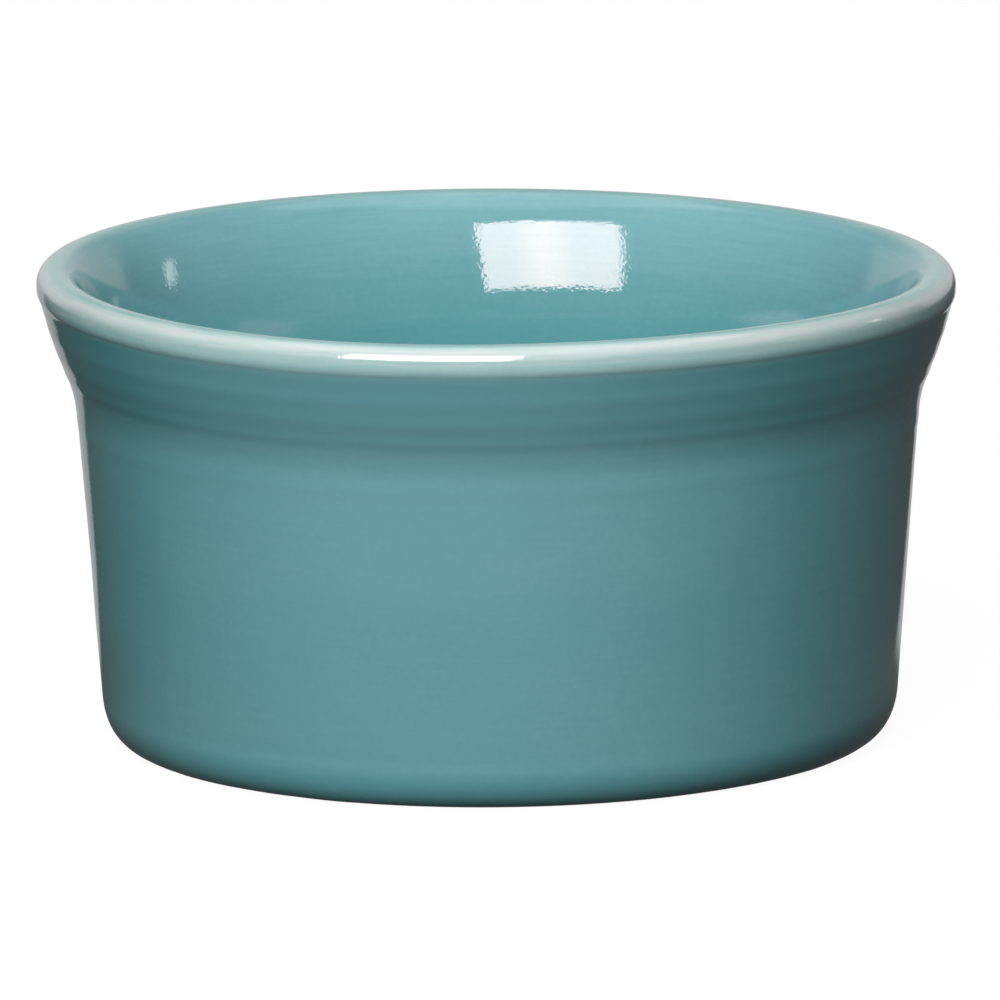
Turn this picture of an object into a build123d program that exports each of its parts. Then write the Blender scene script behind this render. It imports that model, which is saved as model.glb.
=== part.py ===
from build123d import *
from math import asin, atan, cos, degrees, radians, sin, tan
import os

# A round ceramic ramekin: drafted wall, flared rolled lip, soft throwing rings and a dry foot.
# Lengths are in millimetres and angles in degrees. +Z is up, and the origin is the centre of
# the foot on the table. Each section is drawn as (radius, height) and turned about Z.

# Overall size of the glazed dish
overall_height = 54.5
rim_diameter = 104.4
base_diameter = 83.8

# Wall and floor, measured between glazed faces, and the taper of the wall
wall_thickness = 5.3
floor_thickness = 5.0
wall_draft = 4.5
floor_corner_radius = 8.0

# Bottom corner, a quarter of an ellipse that runs from the foot up to the wall
corner_width = 3.5
corner_height = 5.8

# Rolled lip: the round outer edge wraps under, the inner edge leans into the inner flare
lip_outer_radius = 2.0
lip_inner_radius = 3.0
lip_wrap = 35.0
lip_lean = 36.0

# Flare under the lip: how far below the rim the wall starts to open out, outside and inside,
# and how far the outer flare bellies out
flare_height = 15.0
inner_flare_height = 20.9
flare_belly_share = 0.28

# Throwing rings, soft ridges and grooves in turn from the lowest ridge up to the lip
ring_zone_height = 21.4
ring_height_shares = (0.22, 0.42, 0.54, 0.61, 0.70, 0.765, 0.83, 0.91)
glaze_ring_depth = 0.08
clay_ring_depth = 0.16

# Foot ring: the clay that stands on the table, and the shallow recess inside it
foot_width = 4.5
recess_depth = 1.6
recess_corner_radius = 0.9
foot_edge_radius = 0.5

# Glass coat: it is wiped off the foot, and a separate film lies inside the recess
glaze_thickness = 0.35
glaze_stop_height = 0.5
base_glaze_thickness = 0.3
base_glaze_margin = 1.5

# Bottom corner and wall line, from the sizes above
foot_outer_radius = base_diameter / 2
foot_inner_radius = foot_outer_radius - foot_width
wall_slope = tan(radians(wall_draft))


def corner_top_angle(inset):
    """Angle on the corner's ellipse where it runs on into the drafted wall."""
    return -degrees(atan((corner_height - inset) / (corner_width - inset) * wall_slope))


def corner_point(inset, angle):
    """Point on the corner's ellipse, a given depth under the glazed face."""
    radius = foot_outer_radius + (corner_width - inset) * cos(radians(angle))
    return radius, corner_height + (corner_height - inset) * sin(radians(angle))


def stop_angle(inset):
    """Angle on the corner's ellipse at the height where the coat ends."""
    return -degrees(asin((corner_height - glaze_stop_height) / (corner_height - inset)))


wall_start = corner_point(0, corner_top_angle(0))


def wall_line_radius(height):
    """Radius of the straight drafted wall, carried on past its ends."""
    return wall_start[0] + (height - wall_start[1]) * wall_slope


# Lip: centre of its outer round, and the point where that round meets the flare
lip_centre = (rim_diameter / 2 - lip_outer_radius, overall_height - lip_outer_radius)


def lip_start(inset):
    """Lowest point of the lip's outer round."""
    reach = lip_outer_radius - inset
    drop = reach * sin(radians(lip_wrap))
    return lip_centre[0] + reach * cos(radians(lip_wrap)), lip_centre[1] - drop


# Outer flare, between the bend in the wall and the lip
bend_height = overall_height - flare_height
flare_run = lip_start(0)[0] - wall_line_radius(bend_height)
flare_rise = lip_start(0)[1] - bend_height


def outer_radius(height):
    """Radius of the outer face without its rings."""
    if height < bend_height:
        return wall_line_radius(height)
    share_up = (height - bend_height) / flare_rise
    share_out = share_up + flare_belly_share * share_up * (1 - share_up)
    return wall_line_radius(bend_height) + flare_run * share_out


ring_zone_start = overall_height - ring_zone_height
ring_zone_rise = lip_start(0)[1] - ring_zone_start


def ring_points(inset, ring_depth):
    """Tops of the ridges and bottoms of the grooves, in turn, from the lowest ridge up."""
    points = []
    for i, share in enumerate(ring_height_shares):
        height = ring_zone_start + ring_zone_rise * share
        swell = ring_depth / 2 if i % 2 == 0 else -ring_depth / 2
        points.append((outer_radius(height) - inset + swell, height))
    return points


# Inside: the floor, and the point where the inner wall ends and the inner flare begins
floor_height = recess_depth + floor_thickness
inner_bend_height = overall_height - inner_flare_height


def inner_wall_point(inset, height):
    """Point on the inner wall, a given depth under its glazed face."""
    return wall_line_radius(height) - (wall_thickness - inset) / cos(radians(wall_draft)), height


def vessel_face(inset, ring_depth):
    """Draw the dish's face from the end of the coat up, over the lip and in to the axis.

    The face lies a given depth under the glazed one, so that the same line bounds both the
    clay and the glass that covers it.
    """
    corner_end = corner_top_angle(inset)
    EllipticalCenterArc(
        (foot_outer_radius, corner_height),
        corner_width - inset,
        corner_height - inset,
        start_angle=stop_angle(inset),
        arc_size=corner_end - stop_angle(inset),
    )
    wall_top = (outer_radius(ring_zone_start) - inset, ring_zone_start)
    wall = Line(corner_point(inset, corner_end), wall_top)
    wrap = radians(lip_wrap)
    Spline(
        wall_top,
        *ring_points(inset, ring_depth),
        lip_start(inset),
        tangents=(wall % 1, (sin(wrap), cos(wrap))),
    )
    CenterArc(lip_centre, lip_outer_radius - inset, -lip_wrap, 90 + lip_wrap)
    lip_top = (lip_centre[0], overall_height - inset)
    lip_inside = JernArc(lip_top, (-1, 0), lip_inner_radius - inset, 90 - lip_lean)
    draft = radians(wall_draft)
    corner_radius = floor_corner_radius + inset
    wall_foot_height = floor_height - inset + corner_radius * (1 - sin(draft))
    inner_bend = inner_wall_point(inset, inner_bend_height)
    Spline(lip_inside @ 1, inner_bend, tangents=(lip_inside % 1, (-sin(draft), -cos(draft))))
    inner_wall = Line(inner_bend, inner_wall_point(inset, wall_foot_height))
    floor_corner = JernArc(inner_wall @ 1, inner_wall % 1, corner_radius, wall_draft - 90)
    Line(floor_corner @ 1, (0, floor_height - inset))


# Fired clay body, with the dry foot ring that it stands on
with BuildPart() as ceramic_body:
    with BuildSketch(Plane.XZ):
        with BuildLine():
            vessel_face(glaze_thickness, clay_ring_depth)
            Line((0, floor_height - glaze_thickness), (0, recess_depth))
            recess_edge = (foot_inner_radius - recess_corner_radius, recess_depth)
            Line((0, recess_depth), recess_edge)
            recess_corner = JernArc(recess_edge, (1, 0), recess_corner_radius, -90)
            foot_side = Line(recess_corner @ 1, (foot_inner_radius, foot_edge_radius))
            foot_edge = JernArc(foot_side @ 1, (0, -1), foot_edge_radius, 90)
            land = Line(foot_edge @ 1, (foot_outer_radius, 0))
            Line(land @ 1, corner_point(glaze_thickness, stop_angle(glaze_thickness)))
        make_face()
    revolve(axis=Axis.Z)
ceramic_body.part.label = "ceramic_body"

# Glass coat, one unbroken skin over the outside, the lip and the inside
with BuildPart() as glaze_coat:
    with BuildSketch(Plane.XZ):
        with BuildLine():
            vessel_face(0, glaze_ring_depth)
            Line((0, floor_height), (0, floor_height - glaze_thickness))
            vessel_face(glaze_thickness, clay_ring_depth)
            clay_edge = corner_point(glaze_thickness, stop_angle(glaze_thickness))
            Line(clay_edge, corner_point(0, stop_angle(0)))
        make_face()
    revolve(axis=Axis.Z)
glaze_coat.part.label = "glaze_coat"

# Glass film inside the recess, cut off from the coat by the dry foot ring
base_glaze_radius = foot_inner_radius - recess_corner_radius - base_glaze_margin
with BuildPart() as base_glaze:
    with BuildSketch(Plane.XY.offset(recess_depth - base_glaze_thickness)):
        Circle(base_glaze_radius)
    extrude(amount=base_glaze_thickness)
base_glaze.part.label = "base_glaze"

os.makedirs("parts", exist_ok=True)
export_step(ceramic_body.part, "parts/ceramic_body.step")
export_step(glaze_coat.part, "parts/glaze_coat.step")
export_step(base_glaze.part, "parts/base_glaze.step")
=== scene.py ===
from math import asin, atan, atan2, cos, hypot, pi, radians, sin, tan

import bpy
from mathutils import Matrix, Vector, noise


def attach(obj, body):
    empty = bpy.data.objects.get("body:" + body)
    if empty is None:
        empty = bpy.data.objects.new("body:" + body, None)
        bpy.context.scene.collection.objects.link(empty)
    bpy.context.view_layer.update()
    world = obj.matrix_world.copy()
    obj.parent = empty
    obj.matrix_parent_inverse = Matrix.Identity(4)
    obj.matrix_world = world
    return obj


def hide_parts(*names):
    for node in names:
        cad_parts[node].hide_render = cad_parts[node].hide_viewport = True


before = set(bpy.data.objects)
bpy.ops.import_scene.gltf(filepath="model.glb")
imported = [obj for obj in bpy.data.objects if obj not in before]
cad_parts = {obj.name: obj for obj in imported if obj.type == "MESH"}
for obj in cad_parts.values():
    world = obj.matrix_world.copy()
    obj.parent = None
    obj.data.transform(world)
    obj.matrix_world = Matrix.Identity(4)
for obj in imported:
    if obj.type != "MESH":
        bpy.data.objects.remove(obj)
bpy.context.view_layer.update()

# All lengths are in metres unless a name says otherwise. The dish is round about Z and stands
# on z = 0, so each section is a list of (radius, height) points turned about Z.
MM = 0.001

# The dish's own sizes. They are the part's, but for the flare's belly and the height where the
# coat stops, which follow the dish in the photograph more closely, as the rings below do.
OVERALL_HEIGHT = 54.5 * MM
RIM_RADIUS = 52.2 * MM
BASE_RADIUS = 41.9 * MM
WALL_THICKNESS = 5.3 * MM
FLOOR_HEIGHT = 6.6 * MM
WALL_DRAFT = radians(4.5)
FLOOR_CORNER_RADIUS = 8.0 * MM
CORNER_WIDTH = 3.5 * MM
CORNER_HEIGHT = 5.8 * MM
LIP_OUTER_RADIUS = 2.0 * MM
LIP_INNER_RADIUS = 3.0 * MM
LIP_WRAP = radians(35)
LIP_LEAN = radians(36)
FLARE_HEIGHT = 15.0 * MM
INNER_FLARE_HEIGHT = 20.9 * MM
FLARE_BELLY_SHARE = 0.32
RING_ZONE_HEIGHT = 21.4 * MM
RING_DEPTH = 0.08 * MM
FOOT_WIDTH = 4.5 * MM
RECESS_DEPTH = 1.6 * MM
RECESS_CORNER_RADIUS = 0.9 * MM
FOOT_EDGE_RADIUS = 0.5 * MM
GLAZE_THICKNESS = 0.35 * MM
GLAZE_STOP_HEIGHT = 0.2 * MM
BASE_GLAZE_THICKNESS = 0.3 * MM
BASE_GLAZE_MARGIN = 1.5 * MM

# Rings, from the lowest up: the share of the ring zone's rise where each lies, and how many half
# ring depths the face swells there. A groove is below 0, and the first row is where they start.
RINGS = (
    (0.12, 0.0),
    (0.213, 1.3),
    (0.494, -0.4),
    (0.537, 0.55),
    (0.595, -0.5),
    (0.674, 0.45),
    (0.747, -0.3),
    (0.815, 0.45),
    (0.896, -0.65),
)

# What a real dish adds: the wall bends softly, the rim dips and twists a little, and nothing is
# quite round. The rim's dip is what the right side stands lower than the left, and its front
# sags and twists on top of that. The lip hangs a little lower before it turns under. The foot
# is fuller at one side, and the wall a little flatter.
BEND_RAISE = 0.3 * MM
BEND_SOFTNESS = 2.3 * MM
LIP_SIDE_HEIGHT = 0.45 * MM
RIM_DIP = 1.0 * MM
DIP_START_HEIGHT = 30 * MM
DIP_END_HEIGHT = 51 * MM
FRONT_TWIST = 0.40 * MM
FRONT_SAG = 0.12 * MM
FOOT_FULLNESS = 0.62 * MM
FOOT_FULL_AT = radians(-110)
FOOT_FULL_FALLOFF = 1.5
FLAT_DEPTH = 0.13 * MM
FLAT_AT = radians(180)
FLAT_HEIGHTS = (12 * MM, 22 * MM, 41 * MM, 47 * MM)
UNROUND_SIZE = 0.05 * MM
UNROUND_WAVE = 38 * MM
UNROUND_SEED = 3.7
RING_WANDER = 0.12 * MM
RING_WANDER_SEED = 8.2
RING_WANDER_FADE = 2 * MM
SEED_SPREAD = Vector((1.0, 2.3, 5.1))

# How the coat's lower edge and the base film's outline waver. A wave has its fineness, its seed
# and its size.
STOP_WAVER = 0.06 * MM
STOP_WAVER_END = 0.6 * CORNER_HEIGHT
STOP_RAISE_SHARE = 0.4
STOP_WAVES = ((3, 4.4, 1.0), (11, 9.1, 0.5))
FILM_WAVER = 0.6 * MM
FILM_WAVER_START = BASE_RADIUS / 2.4
FILM_WAVER_END = BASE_RADIUS / 1.2
FILM_WAVE_FINENESS, FILM_WAVE_SEED = 4, 1.9

# How finely the pieces are meshed
TURNS_AROUND = 384
STEP_ALONG = 0.35 * MM
HIDDEN_STEP = 3
LEAST_STEPS = 4
CORNER_STEPS = 24
LAND_STEPS = 8
FILM_STEPS = 30
ON_AXIS = 1e-6

WALL_SLOPE = tan(WALL_DRAFT)
BEND_HEIGHT = OVERALL_HEIGHT - FLARE_HEIGHT + BEND_RAISE
LIP_CENTRE = (RIM_RADIUS - LIP_OUTER_RADIUS, OVERALL_HEIGHT - LIP_OUTER_RADIUS)
LIP_LOW_CENTRE = (LIP_CENTRE[0], LIP_CENTRE[1] - LIP_SIDE_HEIGHT)
RING_ZONE_START = OVERALL_HEIGHT - RING_ZONE_HEIGHT


def corner_point(angle):
    """Point on the bottom corner's ellipse."""
    return BASE_RADIUS + CORNER_WIDTH * cos(angle), CORNER_HEIGHT + CORNER_HEIGHT * sin(angle)


CORNER_END = -atan(CORNER_HEIGHT / CORNER_WIDTH * WALL_SLOPE)
CORNER_START = -asin((CORNER_HEIGHT - GLAZE_STOP_HEIGHT) / CORNER_HEIGHT)
WALL_START = corner_point(CORNER_END)
LIP_START = (
    LIP_LOW_CENTRE[0] + LIP_OUTER_RADIUS * cos(LIP_WRAP),
    LIP_LOW_CENTRE[1] - LIP_OUTER_RADIUS * sin(LIP_WRAP),
)


def wall_line_radius(height):
    """Radius of the straight drafted wall, carried on past its ends."""
    return WALL_START[0] + (height - WALL_START[1]) * WALL_SLOPE


FLARE_RISE = LIP_START[1] - BEND_HEIGHT
FLARE_RUN = LIP_START[0] - wall_line_radius(LIP_START[1])
RING_ZONE_RISE = LIP_START[1] - RING_ZONE_START
RING_TABLE = [(RING_ZONE_START, 0.0)]
RING_TABLE += [(RING_ZONE_START + RING_ZONE_RISE * share, swell) for share, swell in RINGS]
RING_TABLE += [(LIP_START[1], 0.0)]


def smooth_step(low, high, value):
    """Goes softly from 0 to 1 as a value goes from low to high."""
    share = min(1.0, max(0.0, (value - low) / (high - low)))
    return share * share * (3 - 2 * share)


def table_value(table, key):
    """Value read from a table of (key, value) rows, eased from one row to the next."""
    if key <= table[0][0]:
        return table[0][1]
    for (low, before), (high, after) in zip(table, table[1:]):
        if key <= high:
            return before + (after - before) * smooth_step(low, high, key)
    return table[-1][1]


def bend_rise(height):
    """Height above the bend in the wall, eased in over the bend's softness."""
    above = height - BEND_HEIGHT
    if above <= -BEND_SOFTNESS:
        return 0.0
    if above >= BEND_SOFTNESS:
        return above
    return (above + BEND_SOFTNESS) ** 2 / (4 * BEND_SOFTNESS)


def outer_radius(height):
    """Radius of the outer face, rings included, between the corner and the lip."""
    share_up = bend_rise(height) / FLARE_RISE
    share_out = share_up + FLARE_BELLY_SHARE * share_up * (1 - share_up)
    swell = RING_DEPTH / 2 * table_value(RING_TABLE, height)
    return wall_line_radius(height) + FLARE_RUN * share_out + swell


def arc_points(centre, radius, start, end, step):
    """Points along an arc from one angle to another, both ends included."""
    count = max(LEAST_STEPS, round(abs(end - start) * radius / step))
    angles = [start + (end - start) * i / count for i in range(count + 1)]
    return [(centre[0] + radius * cos(a), centre[1] + radius * sin(a)) for a in angles]


def hermite_points(start, end, start_way, end_way, step):
    """Points of a smooth curve between two points, leaving and arriving in given directions."""
    run = hypot(end[0] - start[0], end[1] - start[1])
    count = max(LEAST_STEPS, round(run / step))
    points = []
    for i in range(count + 1):
        t = i / count
        weights = (2 * t ** 3 - 3 * t ** 2 + 1, t ** 3 - 2 * t ** 2 + t,
                   3 * t ** 2 - 2 * t ** 3, t ** 3 - t ** 2)
        points.append(tuple(
            weights[0] * start[k] + weights[1] * run * start_way[k]
            + weights[2] * end[k] + weights[3] * run * end_way[k]
            for k in (0, 1)
        ))
    return points


def outside_section():
    """The glazed outer face from the foot up to the lip's top."""
    turn = CORNER_END - CORNER_START
    angles = [CORNER_START + turn * i / CORNER_STEPS for i in range(CORNER_STEPS + 1)]
    points = [corner_point(angle) for angle in angles]
    rise = LIP_START[1] - WALL_START[1]
    count = round(rise / STEP_ALONG)
    heights = [WALL_START[1] + rise * i / count for i in range(1, count)]
    points += [(outer_radius(height), height) for height in heights]
    points += arc_points(LIP_LOW_CENTRE, LIP_OUTER_RADIUS, -LIP_WRAP, 0, STEP_ALONG / 2)
    return points + arc_points(LIP_CENTRE, LIP_OUTER_RADIUS, 0, pi / 2, STEP_ALONG / 2)


def inside_section():
    """The glazed inner face from the lip's top down and in to the axis."""
    centre = (LIP_CENTRE[0], OVERALL_HEIGHT - LIP_INNER_RADIUS)
    points = arc_points(centre, LIP_INNER_RADIUS, pi / 2, pi - LIP_LEAN, STEP_ALONG / 2)[1:]
    offset = WALL_THICKNESS / cos(WALL_DRAFT)
    bend = OVERALL_HEIGHT - INNER_FLARE_HEIGHT
    bend_point = (wall_line_radius(bend) - offset, bend)
    leave = (-sin(LIP_LEAN), -cos(LIP_LEAN))
    arrive = (-sin(WALL_DRAFT), -cos(WALL_DRAFT))
    points += hermite_points(points[-1], bend_point, leave, arrive, STEP_ALONG)[1:]
    foot_height = FLOOR_HEIGHT + FLOOR_CORNER_RADIUS * (1 - sin(WALL_DRAFT))
    foot_radius = wall_line_radius(foot_height) - offset
    count = round((bend - foot_height) / (2 * STEP_ALONG))
    heights = [bend + (foot_height - bend) * i / count for i in range(1, count)]
    points += [(wall_line_radius(height) - offset, height) for height in heights]
    reach = FLOOR_CORNER_RADIUS * cos(WALL_DRAFT)
    centre = (foot_radius - reach, FLOOR_HEIGHT + FLOOR_CORNER_RADIUS)
    points += arc_points(centre, FLOOR_CORNER_RADIUS, -WALL_DRAFT, -pi / 2, 2 * STEP_ALONG)
    flat = points[-1][0]
    count = round(flat / (4 * STEP_ALONG))
    return points + [(flat * (1 - i / count), FLOOR_HEIGHT) for i in range(1, count + 1)]


def inset(section, depth):
    """The same line a given depth under the face that it draws. The last point is on the axis."""
    moved = []
    for i, (radius, height) in enumerate(section):
        before, after = section[max(0, i - 1)], section[min(len(section) - 1, i + 1)]
        run = hypot(after[0] - before[0], after[1] - before[1])
        side = ((before[1] - after[1]) / run, (after[0] - before[0]) / run)
        moved.append((max(0.0, radius + depth * side[0]), height + depth * side[1]))
    moved[-1] = (0.0, section[-1][1] - depth)
    return moved


def around_noise(x, y, z, wave, seed):
    """Smooth noise from -1 to 1 that changes over a given length."""
    return noise.noise(Vector((x, y, z)) / wave + seed * SEED_SPREAD)


def ring_noise(angle, fineness, seed):
    """Smooth noise from -1 to 1 that runs round the dish and meets its own start."""
    return noise.noise(Vector((fineness * cos(angle), fineness * sin(angle), seed)))


def foot_and_flat(angle, z):
    """How far the foot's full side stands out, or the wall's flat side in, at a place."""
    foot = FOOT_FULLNESS * max(0.0, cos(angle - FOOT_FULL_AT)) ** FOOT_FULL_FALLOFF
    foot *= 1 - smooth_step(0, CORNER_HEIGHT, z)
    flat = FLAT_DEPTH * max(0.0, cos(angle - FLAT_AT)) ** 2
    flat *= smooth_step(FLAT_HEIGHTS[0], FLAT_HEIGHTS[1], z)
    return foot - flat * (1 - smooth_step(FLAT_HEIGHTS[2], FLAT_HEIGHTS[3], z))


def rim_drop(x, angle):
    """How far the fired rim lies below the ideal one."""
    front = max(0.0, -sin(angle))
    low_front = front * (FRONT_SAG * front + FRONT_TWIST * sin(2 * angle))
    return RIM_DIP / 2 * (1 + x / RIM_RADIUS) + low_front


def settle(x, y, z):
    """Moves a point of the ideal dish to where it is on the fired one."""
    radius = hypot(x, y)
    angle = atan2(y, x)
    high = smooth_step(DIP_START_HEIGHT, DIP_END_HEIGHT, z)
    dip = rim_drop(x, angle) * high
    if radius < ON_AXIS:
        return x, y, z - dip
    outer_share = smooth_step(BASE_RADIUS / 2, BASE_RADIUS, radius)
    wall_share = smooth_step(0, CORNER_HEIGHT, z) * smooth_step(0, BASE_RADIUS / 2, radius)
    bulge = UNROUND_SIZE * wall_share * (1 - high) * around_noise(x, y, z, UNROUND_WAVE, UNROUND_SEED)
    bulge += outer_share * foot_and_flat(angle, z)
    wander = RING_WANDER * high * around_noise(x, y, 0, UNROUND_WAVE, RING_WANDER_SEED)
    wander *= 1 - smooth_step(LIP_START[1] - RING_WANDER_FADE, LIP_START[1], z)
    scale = (radius + bulge) / radius
    return x * scale, y * scale, z - dip + wander


def lathe(name, section, edge_waver=None, shares=None):
    """Mesh of a closed section turned about Z. A point on the axis becomes one vertex.

    Edge_waver moves the points of each turn, and shares gives each section point its share of
    thinned glaze, which on the outer lip is partly a painted highlight.
    """
    verts, faces, rows, thin_and_highlight = [], [], [], []
    for i, (radius, height) in enumerate(section):
        start = len(verts)
        count = 1 if radius < ON_AXIS else TURNS_AROUND
        for k in range(count):
            angle = 2 * pi * k / TURNS_AROUND
            r, z = (radius, height) if edge_waver is None else edge_waver(radius, height, angle)
            verts.append(settle(r * cos(angle), r * sin(angle), z))
            thin_and_highlight.append(shares[i] if shares else 0.0)
        rows.append(range(start, len(verts)))
    for low, high in zip(rows, rows[1:] + rows[:1]):
        for k in range(TURNS_AROUND):
            j = (k + 1) % TURNS_AROUND
            if len(low) == 1 and len(high) == 1:
                break
            if len(high) == 1:
                faces.append((low[k], low[j], high[0]))
            elif len(low) == 1:
                faces.append((low[0], high[j], high[k]))
            else:
                faces.append((low[k], low[j], high[j], high[k]))
    mesh = bpy.data.meshes.new(name)
    mesh.from_pydata(verts, [], faces)
    mesh.polygons.foreach_set("use_smooth", [True] * len(faces))
    if shares:
        layer = mesh.attributes.new("glaze_thin_and_highlight", "FLOAT", "POINT")
        layer.data.foreach_set("value", thin_and_highlight)
    mesh.update()
    piece = bpy.data.objects.new(name, mesh)
    bpy.context.scene.collection.objects.link(piece)
    return piece


# Share of thinned glaze by height, outside and inside: the glaze runs off the lip's sharp turn
# and gathers lower down, so the pale clay shows through most along the lip. On the outer lip
# the pale band is partly a painted highlight: its lower edge is set where the lip's highlight ends.
WALL_THIN = 0.15
OUTER_THIN_AND_HIGHLIGHT = (
    (41.0 * MM, WALL_THIN),
    (42.8 * MM, 0.0),
    (50.4 * MM, 0.0),
    (50.9 * MM, 0.32),
    (51.3 * MM, 0.52),
    (52.0 * MM, 0.62),
    (52.7 * MM, 0.74),
    (53.4 * MM, 0.92),
    (53.9 * MM, 1.0),
    (54.2 * MM, 0.87),
    (54.5 * MM, 0.62),
)
INNER_THIN = (
    (37.0 * MM, WALL_THIN),
    (44.0 * MM, 0.22),
    (49.0 * MM, 0.32),
    (52.5 * MM, 0.38),
    (54.0 * MM, 0.405),
    (54.5 * MM, 0.62),
)


class Shader:
    """The node tree of a material or a world, with short calls to add nodes and link them."""

    def __init__(self, owner):
        owner.use_nodes = True
        self.tree = owner.node_tree
        self.tree.nodes.clear()

    def feed(self, socket, value):
        """Links a node's output to an input, or sets a plain value there."""
        if isinstance(value, bpy.types.NodeSocket):
            self.tree.links.new(value, socket)
        elif value is not None:
            socket.default_value = value

    def node(self, kind, **values):
        """A node. A value goes to the input of that name, or else to the node's own setting."""
        made = self.tree.nodes.new("ShaderNode" + kind)
        for name, value in values.items():
            if hasattr(made, name):
                setattr(made, name, value)
            else:
                self.feed(made.inputs[name.replace("_", " ")], value)
        return made

    def math(self, operation, first, second=None, clamp=False):
        """A number worked out from one or two others."""
        made = self.node("Math", operation=operation, use_clamp=clamp)
        self.feed(made.inputs[0], first)
        self.feed(made.inputs[1], second)
        return made.outputs[0]

    def mix(self, share, first, second):
        """Number between two others, by a share from 0 to 1."""
        made = self.node("Mix")
        for socket, value in zip(made.inputs, (share, None, first, second)):
            self.feed(socket, value)
        return made.outputs[0]

    def mix_colours(self, share, first, second):
        """Colour between two others. The Mix node has its colours in its last inputs."""
        made = self.node("Mix", data_type="RGBA")
        colour_sockets = [socket for socket in made.inputs if socket.type == "RGBA"]
        for socket, value in zip([made.inputs[0]] + colour_sockets, (share, first, second)):
            self.feed(socket, value)
        return next(socket for socket in made.outputs if socket.type == "RGBA")

    def ease(self, value, start, end, before, after):
        """Goes softly from one number to another as a value goes from start to end."""
        made = self.node("MapRange", interpolation_type="SMOOTHSTEP", Value=value)
        numbers = (start, end, before, after)
        for name, number in zip(("From Min", "From Max", "To Min", "To Max"), numbers):
            made.inputs[name].default_value = number
        return made.outputs["Result"]

    def grow(self, value, start, end, size):
        """Goes softly from 0 to a size as a value goes from start to end."""
        return self.ease(value, start, end, 0.0, size)

    def step(self, value, edge, softness, before, after):
        """Goes from one number to another where a value passes an edge."""
        return self.ease(value, edge - softness, edge + softness, before, after)

    def squared_offset(self, value, centre, half_size):
        """Square of how many half sizes a value is from a centre."""
        offset = self.math("DIVIDE", self.math("SUBTRACT", value, centre), half_size)
        return self.math("MULTIPLY", offset, offset)

    def noise(self, place, per_metre, detail=2.0):
        """Smooth noise around 0.5, between 0 and 1."""
        return self.node("TexNoise", Vector=place, Scale=per_metre, Detail=detail).outputs["Fac"]

    def sway(self, noise, size):
        """The same noise around 0, at a given size."""
        return self.math("MULTIPLY", self.math("SUBTRACT", noise, 0.5), size)

    def ramp(self, factor, stops):
        """Colours by factor; stops are (position, colour)."""
        made = self.node("ValToRGB", Fac=factor)
        elements = made.color_ramp.elements
        while len(elements) < len(stops):
            elements.new(0.5)
        for element, (position, colour) in zip(elements, stops):
            element.position = position
            element.color = (*colour, 1.0)
        return made.outputs["Color"]

    def finish(self, surface, kind="OutputMaterial"):
        """Ends the tree in its output node."""
        self.feed(self.node(kind).inputs["Surface"], surface)


# Glaze colours from its thickest to thinned right out, with the share of thinning of each. The
# palest also paint the outer lip's highlight.
GLAZE_STOPS = (
    (0.0, (0.062, 0.236, 0.262)),
    (WALL_THIN, (0.085, 0.264, 0.290)),
    (0.405, (0.150, 0.335, 0.360)),
    (0.66, (0.25, 0.42, 0.42)),
    (1.0, (0.43, 0.50, 0.495)),
)
GLAZE_IOR = 1.6
GLAZE_ROUGHNESS = 0.045
CLOUD_PER_METRE = 60
CLOUD_DETAIL = 3
CLOUD_SIZE = 0.12
GRAIN_PER_METRE = 1400
GRAIN_SIZE = 0.10
STREAK_PER_METRE = 130
STREAK_FLATNESS = (1, 1, 16)
STREAK_SIZE = 0.45
RIPPLE_PER_METRE = 2500
RIPPLE_DETAIL = 1.5
RIPPLE_CLOUDS = (0.35, 0.65)
RIPPLE_DEPTHS = (0.008 * MM, 0.012 * MM)


def glaze_material():
    """Opaque glossy glaze with the faint ripple of fired glass.

    It is slightly uneven in depth, in soft clouds, fine grain and streaks that run round the dish.
    """
    material = bpy.data.materials.new("turquoise_glaze")
    shader = Shader(material)
    place = shader.node("TexCoord").outputs["Object"]
    # The thinned glaze's share, which along the outer lip also paints a highlight
    thin_and_highlight = shader.node("Attribute", attribute_name="glaze_thin_and_highlight").outputs["Fac"]
    cloud = shader.noise(place, CLOUD_PER_METRE, CLOUD_DETAIL)
    grain = shader.noise(place, GRAIN_PER_METRE)
    flattened = shader.node("VectorMath", operation="MULTIPLY")
    shader.feed(flattened.inputs[0], place)
    shader.feed(flattened.inputs[1], STREAK_FLATNESS)
    streak = shader.noise(flattened.outputs["Vector"], STREAK_PER_METRE)
    streak = shader.math("MULTIPLY", shader.sway(streak, STREAK_SIZE), thin_and_highlight)
    total = shader.math("ADD", shader.math("ADD", thin_and_highlight, streak), shader.sway(cloud, CLOUD_SIZE))
    total = shader.math("ADD", total, shader.sway(grain, GRAIN_SIZE), clamp=True)
    colour = shader.ramp(total, GLAZE_STOPS)
    ripple = shader.noise(place, RIPPLE_PER_METRE, RIPPLE_DETAIL)
    depth = shader.ease(cloud, *RIPPLE_CLOUDS, *RIPPLE_DEPTHS)
    orange_peel = shader.node("Bump", Strength=1.0, Distance=depth, Height=ripple)
    surface = shader.node(
        "BsdfPrincipled", Base_Color=colour, Roughness=GLAZE_ROUGHNESS, IOR=GLAZE_IOR,
        Normal=orange_peel.outputs["Normal"],
    )
    shader.finish(surface.outputs["BSDF"])
    return material


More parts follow.
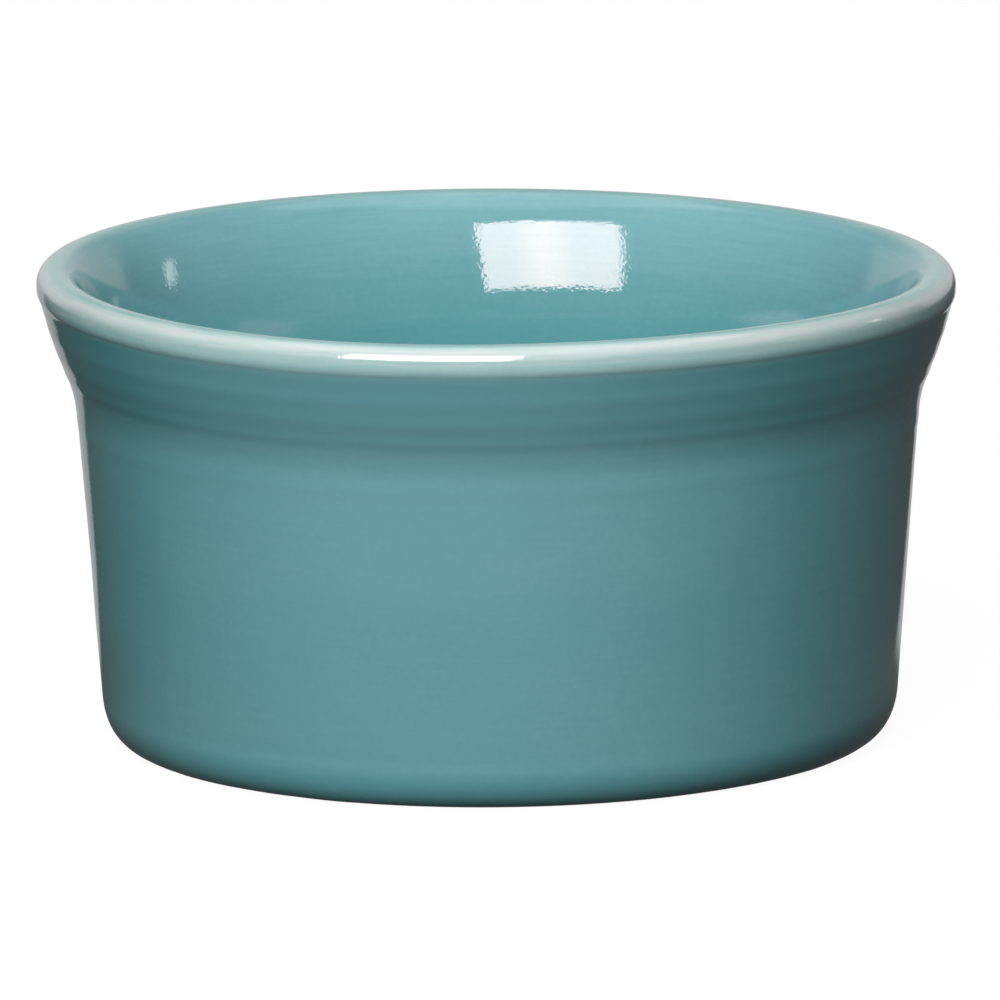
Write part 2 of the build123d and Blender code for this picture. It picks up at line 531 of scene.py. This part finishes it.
# Bare clay: its tones, its dark specks and its grit
CLAY_STOPS = ((0.3, (0.50, 0.45, 0.375)), (0.7, (0.64, 0.59, 0.51)))
CLAY_CLOUD_PER_METRE = 120
CLAY_CLOUD_DETAIL = 4
CLAY_ROUGHNESS = 0.82
SPECK_PER_METRE = 1100
SPECK_RADIUS_SHARE = 0.16
SPECK_STRENGTH = 0.6
SPECK_COLOUR = (0.23, 0.17, 0.12, 1.0)
GRIT_PER_METRE = 2600
GRIT_DETAIL = 3
GRIT_STRENGTH = 0.6
GRIT_DEPTH = 0.05 * MM


def clay_material():
    """Bare fired stoneware: off-white, finely speckled and slightly gritty."""
    material = bpy.data.materials.new("fired_clay")
    shader = Shader(material)
    place = shader.node("TexCoord").outputs["Object"]
    cloud = shader.noise(place, CLAY_CLOUD_PER_METRE, CLAY_CLOUD_DETAIL)
    colour = shader.ramp(cloud, CLAY_STOPS)
    specks = shader.node("TexVoronoi", Vector=place, Scale=SPECK_PER_METRE)
    mask = shader.math("LESS_THAN", specks.outputs["Distance"], SPECK_RADIUS_SHARE)
    share = shader.math("MULTIPLY", mask, SPECK_STRENGTH)
    speckled = shader.mix_colours(share, colour, SPECK_COLOUR)
    grit = shader.noise(place, GRIT_PER_METRE, GRIT_DETAIL)
    bump = shader.node("Bump", Strength=GRIT_STRENGTH, Distance=GRIT_DEPTH, Height=grit)
    surface = shader.node(
        "BsdfPrincipled", Base_Color=speckled, Roughness=CLAY_ROUGHNESS,
        Normal=bump.outputs["Normal"],
    )
    shader.finish(surface.outputs["BSDF"])
    return material


def stop_waver(radius, height, angle):
    """The coat's lower edge runs a little up and down round the foot."""
    share = 1 - smooth_step(GLAZE_STOP_HEIGHT, STOP_WAVER_END, height)
    wave = sum(size * ring_noise(angle, fineness, seed) for fineness, seed, size in STOP_WAVES)
    return radius, height + STOP_WAVER * share * (STOP_RAISE_SHARE + wave)


def film_waver(radius, height, angle):
    """The film's outline runs a little in and out round the recess."""
    inward = (1 - ring_noise(angle, FILM_WAVE_FINENESS, FILM_WAVE_SEED)) / 2
    share = smooth_step(FILM_WAVER_START, FILM_WAVER_END, radius)
    return radius - FILM_WAVER * share * inward, height


def make_glaze(material):
    """The glass coat as one closed skin: its face, and its back where it lies on the clay."""
    outside, inside = outside_section(), inside_section()
    face = outside + inside
    shares = [table_value(OUTER_THIN_AND_HIGHLIGHT, height) for _, height in outside]
    shares += [table_value(INNER_THIN, height) for _, height in inside]
    hidden = inset(face, GLAZE_THICKNESS)
    back = [hidden[-1]] + hidden[-1 - HIDDEN_STEP:0:-HIDDEN_STEP] + [hidden[0]]
    shares += [WALL_THIN] * len(back)
    skin = lathe("glaze_skin", face + back, stop_waver, shares)
    skin.data.materials.append(material)
    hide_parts("glaze_coat")
    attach(skin, "root")


def make_clay(material):
    """The clay dish under the coat, with its foot ring and the recess inside it."""
    face = inset(outside_section() + inside_section(), GLAZE_THICKNESS)
    face = face[::HIDDEN_STEP] + [face[-1]]
    foot_inner = BASE_RADIUS - FOOT_WIDTH
    corner = (foot_inner - RECESS_CORNER_RADIUS, RECESS_DEPTH - RECESS_CORNER_RADIUS)
    under = [(0.0, RECESS_DEPTH)]
    under += arc_points(corner, RECESS_CORNER_RADIUS, pi / 2, 0, STEP_ALONG / 2)
    edge = (foot_inner + FOOT_EDGE_RADIUS, FOOT_EDGE_RADIUS)
    under += arc_points(edge, FOOT_EDGE_RADIUS, pi, 3 * pi / 2, STEP_ALONG / 4)
    width = FOOT_WIDTH - FOOT_EDGE_RADIUS
    land = [(edge[0] + width * i / LAND_STEPS, 0.0) for i in range(1, LAND_STEPS + 1)]
    dish = lathe("clay_dish", face + under + land)
    dish.data.materials.append(material)
    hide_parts("ceramic_body")
    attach(dish, "root")


def make_base_film(material):
    """The glass film in the recess, rounded off at its edge."""
    radius = BASE_RADIUS - FOOT_WIDTH - RECESS_CORNER_RADIUS - BASE_GLAZE_MARGIN
    low = RECESS_DEPTH - BASE_GLAZE_THICKNESS
    flat = radius - BASE_GLAZE_THICKNESS
    section = [(flat * i / FILM_STEPS, low) for i in range(FILM_STEPS)]
    centre = (flat, RECESS_DEPTH)
    section += arc_points(centre, BASE_GLAZE_THICKNESS, -pi / 2, 0, STEP_ALONG / 8)
    section += [(0.0, RECESS_DEPTH)]
    shares = [WALL_THIN] * len(section)
    film = lathe("base_film", section, film_waver, shares)
    film.data.materials.append(material)
    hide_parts("base_glaze")
    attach(film, "root")


# Camera, solved from the photograph's outline of the rim and the base
CAMERA_DISTANCE = 1.8003
CAMERA_HEIGHT = 0.37448
CAMERA_PITCH = radians(10.933)
CAMERA_ROLL = radians(-0.548)
CAMERA_SIDE = 0.198 * MM
FOCAL_LENGTH_PX = 16105
PICTURE_WIDTH_PX = 1000
SENSOR_MM = 36
CLIP_START, CLIP_END = 0.05, 50


def make_camera():
    """A long lens that looks a little down on the dish, from the photograph's place."""
    data = bpy.data.cameras.new("camera")
    data.sensor_width = SENSOR_MM
    data.lens = FOCAL_LENGTH_PX / PICTURE_WIDTH_PX * SENSOR_MM
    data.clip_start = CLIP_START
    data.clip_end = CLIP_END
    camera = bpy.data.objects.new("camera", data)
    bpy.context.scene.collection.objects.link(camera)
    tilt = Matrix.Rotation(pi / 2 - CAMERA_PITCH, 4, "X")
    roll = Matrix.Rotation(CAMERA_ROLL, 4, "Z")
    place = Matrix.Translation((CAMERA_SIDE, -CAMERA_DISTANCE, CAMERA_HEIGHT))
    camera.matrix_world = place @ tilt @ roll
    bpy.context.scene.camera = camera


def way_from_dish(azimuth, elevation):
    """Direction seen from the dish: azimuth 0 is the camera's side, and positive to its right."""
    return Vector((
        cos(elevation) * sin(azimuth),
        -cos(elevation) * cos(azimuth),
        sin(elevation),
    ))


def area_light(name, place, facing, size, radiance):
    """A square softbox that only lights the dish. Its mirror image is the card's or none."""
    data = bpy.data.lights.new(name, "AREA")
    data.shape = "SQUARE"
    data.size = size
    data.energy = radiance * pi * size * size
    lamp = bpy.data.objects.new(name, data)
    bpy.context.scene.collection.objects.link(lamp)
    lamp.location = place
    lamp.rotation_euler = facing.to_track_quat("-Z", "Y").to_euler()
    lamp.visible_glossy = False
    return lamp


# Lights. The card is the key softbox's bright face as the glaze mirrors it, a little pink and
# with its lamp's glow in the middle. Its place and size are solved from its mirror image.
DISH_TOP = Vector((0, 0, OVERALL_HEIGHT))
CARD_AZIMUTH = radians(-18.1)
CARD_RADIANCE = 14.5
CARD_EDGE_COLOUR = (0.79, 0.615, 0.615)
CARD_GLOW_COLOUR = (0.97, 0.715, 0.685)
CARD_GLOW_AT = 0.03
CARD_GLOW_HALF_WIDTH = 0.16
CARD_TOP_LEFT = 0.235
CARD_TOP_RIGHT = 0.262
KEY_AZIMUTH = radians(-13.8)
KEY_ELEVATION = radians(37.6)
KEY_FACING_ELEVATION = radians(17.8)
KEY_DISTANCE = 0.9
KEY_SIZE = 0.634
KEY_RADIANCE = 9.95
KEY_COLOUR = (1.0, 0.97, 0.96)
FILL_AZIMUTH = radians(45)
FILL_ELEVATION = radians(45)
FILL_DISTANCE = 1.1
FILL_SIZE = 0.7
FILL_RADIANCE = 0.9


def card_material():
    """Even light with a soft glow down the middle."""
    material = bpy.data.materials.new("softbox_face")
    shader = Shader(material)
    place = shader.node("SeparateXYZ", Vector=shader.node("TexCoord").outputs["Object"])
    off = shader.math("ABSOLUTE", shader.math("SUBTRACT", place.outputs["X"], CARD_GLOW_AT))
    glow = shader.ease(off, 0.0, CARD_GLOW_HALF_WIDTH, 1.0, 0.0)
    colour = shader.ramp(glow, ((0.0, CARD_EDGE_COLOUR), (1.0, CARD_GLOW_COLOUR)))
    emission = shader.node("Emission", Color=colour, Strength=CARD_RADIANCE)
    shader.finish(emission.outputs["Emission"])
    return material


def make_card():
    """The softbox's face for reflections alone. Its top edge slopes as in its mirror image."""
    half = KEY_SIZE / 2
    mesh = bpy.data.meshes.new("softbox_card")
    corners = [(-half, -half, 0.0), (half, -half, 0.0)]
    corners += [(half, CARD_TOP_RIGHT, 0.0), (-half, CARD_TOP_LEFT, 0.0)]
    mesh.from_pydata(corners, [], [(0, 1, 2, 3)])
    card = bpy.data.objects.new("softbox_card", mesh)
    bpy.context.scene.collection.objects.link(card)
    facing = -way_from_dish(CARD_AZIMUTH, KEY_FACING_ELEVATION)
    card.location = DISH_TOP + KEY_DISTANCE * way_from_dish(CARD_AZIMUTH, KEY_ELEVATION)
    card.rotation_euler = facing.to_track_quat("-Z", "Y").to_euler()
    card.visible_camera = False
    card.visible_diffuse = False
    card.visible_shadow = False
    card.data.materials.append(card_material())


def make_lights():
    """The key softbox from the left and above, and a weak fill from the right."""
    place = DISH_TOP + KEY_DISTANCE * way_from_dish(KEY_AZIMUTH, KEY_ELEVATION)
    facing = -way_from_dish(KEY_AZIMUTH, KEY_FACING_ELEVATION)
    key = area_light("key_softbox", place, facing, KEY_SIZE, KEY_RADIANCE)
    key.data.color = KEY_COLOUR
    way = way_from_dish(FILL_AZIMUTH, FILL_ELEVATION)
    place = DISH_TOP + FILL_DISTANCE * way
    area_light("fill_softbox", place, -way, FILL_SIZE, FILL_RADIANCE)


# The studio. A dim fill comes from all round and a brighter one from the ceiling. The glaze
# mirrors the ceiling too, and a white backdrop behind that fades upwards, dark on both sides,
# one slim oval light beside the backdrop, and a dim room in front. Azimuth 0 is straight behind
# the dish here, and positive to the right.
WORLD_FILL = 0.045
MIRROR_ROOM = 0.25
MIRROR_BACKDROP_LOW = 0.8
MIRROR_BACKDROP_HIGH = 0.2
MIRROR_SIDES = 0.12
MIRROR_STRIP = 4.0
CEILING_RADIANCE = 1.4
BACKDROP_FADE = radians(20)
BACKDROP_FADE_SOFTNESS = radians(9)
BACKDROP_EDGE = radians(44.5)
BACKDROP_EDGE_SOFTNESS = radians(4)
SIDES_EDGE = radians(71.5)
SIDES_EDGE_SOFTNESS = radians(2)
STRIP_AZIMUTH, STRIP_HALF_WIDTH = radians(66.8), radians(2.9)
STRIP_ELEVATION, STRIP_HALF_HEIGHT = radians(17), radians(5.5)
STRIP_SOFT_FROM = 0.3
CEILING_ELEVATION = radians(57)
CEILING_SOFTNESS = radians(2)

# The floor: how white it looks to the camera, its own grey, and what the glaze mirrors of it.
# What the glaze mirrors is painted light, a glow that only reflections see: painted shade beside
# the dish and a painted shadow at its foot, a painted pool of light in front, towards the key
# light, a little painted light to the right, and white behind the dish in a wedge that shows as
# the thin pale line down each side. Azimuth is counted as in the world.
FLOOR_RADIUS = 1.5
FLOOR_SIDES = 96
FLOOR_WHITE = 0.95
FLOOR_GREY = 0.06
MIRROR_FLOOR_DARK = 0.09
MIRROR_FLOOR_NEAR = 0.70
MIRROR_FLOOR_FAR = 0.28
MIRROR_FLOOR_RIGHT = 0.10
# Inside NEAR_START the floor's painted glow is missing: a painted shadow at the dish's foot
NEAR_START, NEAR_END = 46 * MM, 66 * MM
FAR_START, FAR_END = 103 * MM, 123 * MM
FRONT_AZIMUTH = radians(-166)
NEAR_FALLOFF = 1.6
FAR_FALLOFF = 1.0
RIGHT_AZIMUTH = radians(112)
RIGHT_FALLOFF = 2.0
MIRROR_FLOOR_BEHIND = 0.44
WEDGE_START, WEDGE_END = 25 * MM, 50 * MM
WEDGE_LEFT_EDGE, WEDGE_LEFT_SPREAD = 35 * MM, 0.51
WEDGE_RIGHT_EDGE, WEDGE_RIGHT_SPREAD = 54 * MM, 0.2
WEDGE_SOFTNESS = 2 * MM


def mirror_share(shader, path):
    """1 for rays that the glaze mirrors or lets through, and 0 for the rest."""
    return shader.math("MAXIMUM", path.outputs["Is Glossy Ray"], path.outputs["Is Transmission Ray"])


def make_world():
    """White to the camera, soft light to the dish, and the studio to what the glaze mirrors."""
    world = bpy.data.worlds.new("studio")
    bpy.context.scene.world = world
    shader = Shader(world)
    way = shader.node("SeparateXYZ", Vector=shader.node("TexCoord").outputs["Generated"])
    azimuth = shader.math("ARCTAN2", way.outputs["X"], way.outputs["Y"])
    aside = shader.math("ABSOLUTE", azimuth)
    elevation = shader.math("ARCSINE", way.outputs["Z"])
    backdrop = shader.step(
        elevation, BACKDROP_FADE, BACKDROP_FADE_SOFTNESS, MIRROR_BACKDROP_LOW, MIRROR_BACKDROP_HIGH,
    )
    beside = shader.step(aside, BACKDROP_EDGE, BACKDROP_EDGE_SOFTNESS, 0.0, 1.0)
    around = shader.mix(beside, backdrop, MIRROR_SIDES)
    room = shader.step(aside, SIDES_EDGE, SIDES_EDGE_SOFTNESS, 0.0, MIRROR_ROOM - MIRROR_SIDES)
    across = shader.squared_offset(azimuth, STRIP_AZIMUTH, STRIP_HALF_WIDTH)
    along = shader.squared_offset(elevation, STRIP_ELEVATION, STRIP_HALF_HEIGHT)
    strip = shader.ease(shader.math("ADD", across, along), STRIP_SOFT_FROM, 1.0, MIRROR_STRIP, 0.0)
    ceiling = shader.step(elevation, CEILING_ELEVATION, CEILING_SOFTNESS, 0.0, CEILING_RADIANCE)
    seen = shader.math("ADD", shader.math("ADD", around, room), strip)
    seen = shader.math("MAXIMUM", seen, ceiling)
    path = shader.node("LightPath")
    gloss = mirror_share(shader, path)
    fill = shader.step(
        elevation, CEILING_ELEVATION, CEILING_SOFTNESS, WORLD_FILL, CEILING_RADIANCE,
    )
    strength = shader.mix(gloss, fill, seen)
    strength = shader.mix(path.outputs["Is Camera Ray"], strength, 1.0)
    background = shader.node("Background", Strength=strength)
    shader.finish(background.outputs["Background"], "OutputWorld")


def disc_mesh(name, radius, count):
    """A flat round face, drawn with a given number of sides."""
    angles = [2 * pi * k / count for k in range(count)]
    mesh = bpy.data.meshes.new(name)
    verts = [(radius * cos(angle), radius * sin(angle), 0.0) for angle in angles]
    mesh.from_pydata(verts, [], [tuple(range(count))])
    return mesh


def lobe(shader, azimuth, centre, falloff):
    """1 towards an azimuth, falling off to 0 at right angles to it."""
    towards = shader.math("COSINE", shader.math("SUBTRACT", azimuth, centre))
    return shader.math("POWER", shader.math("MAXIMUM", towards, 0.0), falloff)


def wedge_side(shader, aside, y, edge, spread):
    """1 inside one side of the white wedge behind the dish, and 0 outside it."""
    off = shader.math("SUBTRACT", aside, shader.math("MULTIPLY", y, spread))
    return shader.step(off, edge, WEDGE_SOFTNESS, 1.0, 0.0)


def painted_floor_light(shader):
    """Painted light and shade on the floor, as bright as the glaze sees each place of it."""
    place = shader.node("TexCoord").outputs["Object"]
    parts = shader.node("SeparateXYZ", Vector=place)
    x, y = parts.outputs["X"], parts.outputs["Y"]
    azimuth = shader.math("ARCTAN2", x, y)
    outward = shader.node("VectorMath", operation="LENGTH")
    shader.feed(outward.inputs[0], place)
    outward = outward.outputs["Value"]
    # A painted pool of light in front, towards the key light, fading out near the foot as a painted
    # shadow
    near = shader.math(
        "MULTIPLY", lobe(shader, azimuth, FRONT_AZIMUTH, NEAR_FALLOFF),
        shader.grow(outward, NEAR_START, NEAR_END, MIRROR_FLOOR_NEAR),
    )
    far = shader.math(
        "MULTIPLY", lobe(shader, azimuth, FRONT_AZIMUTH, FAR_FALLOFF),
        shader.grow(outward, FAR_START, FAR_END, MIRROR_FLOOR_FAR),
    )
    # A little painted light to the right
    right = shader.math(
        "MULTIPLY", lobe(shader, azimuth, RIGHT_AZIMUTH, RIGHT_FALLOFF),
        shader.grow(outward, NEAR_START, NEAR_END, MIRROR_FLOOR_RIGHT),
    )
    leftward = shader.math("MULTIPLY", x, -1.0)
    left_side = wedge_side(shader, leftward, y, WEDGE_LEFT_EDGE, WEDGE_LEFT_SPREAD)
    right_side = wedge_side(shader, x, y, WEDGE_RIGHT_EDGE, WEDGE_RIGHT_SPREAD)
    wedge = shader.math("MULTIPLY", left_side, right_side)
    start = shader.grow(y, WEDGE_START, WEDGE_END, MIRROR_FLOOR_BEHIND)
    total = shader.math("MULTIPLY", wedge, start)
    for part in (near, far, right):
        total = shader.math("ADD", total, part)
    return shader.math("ADD", total, MIRROR_FLOOR_DARK)


def make_floor():
    """A pale floor that takes the dish's shadow."""
    floor = bpy.data.objects.new("floor", disc_mesh("floor", FLOOR_RADIUS, FLOOR_SIDES))
    bpy.context.scene.collection.objects.link(floor)
    material = bpy.data.materials.new("pale_floor")
    shader = Shader(material)
    painted_glow = painted_floor_light(shader)
    path = shader.node("LightPath")
    # The painted light, seen only by what the glaze mirrors or lets through
    glow = shader.math("MULTIPLY", mirror_share(shader, path), painted_glow)
    shown = shader.math("MULTIPLY", path.outputs["Is Camera Ray"], FLOOR_WHITE)
    emission = shader.node("Emission", Strength=shader.math("ADD", glow, shown))
    grey = shader.mix(mirror_share(shader, path), FLOOR_GREY, 0.0)
    diffuse = shader.node("BsdfDiffuse", Color=grey)
    added = shader.node("AddShader")
    shader.feed(added.inputs[0], diffuse.outputs["BSDF"])
    shader.feed(added.inputs[1], emission.outputs["Emission"])
    shader.finish(added.outputs[0])
    floor.data.materials.append(material)


bpy.context.scene.view_settings.view_transform = "Standard"
glaze = glaze_material()
clay = clay_material()
make_glaze(glaze)
make_clay(clay)
make_base_film(glaze)
make_camera()
make_card()
make_lights()
make_world()
make_floor()
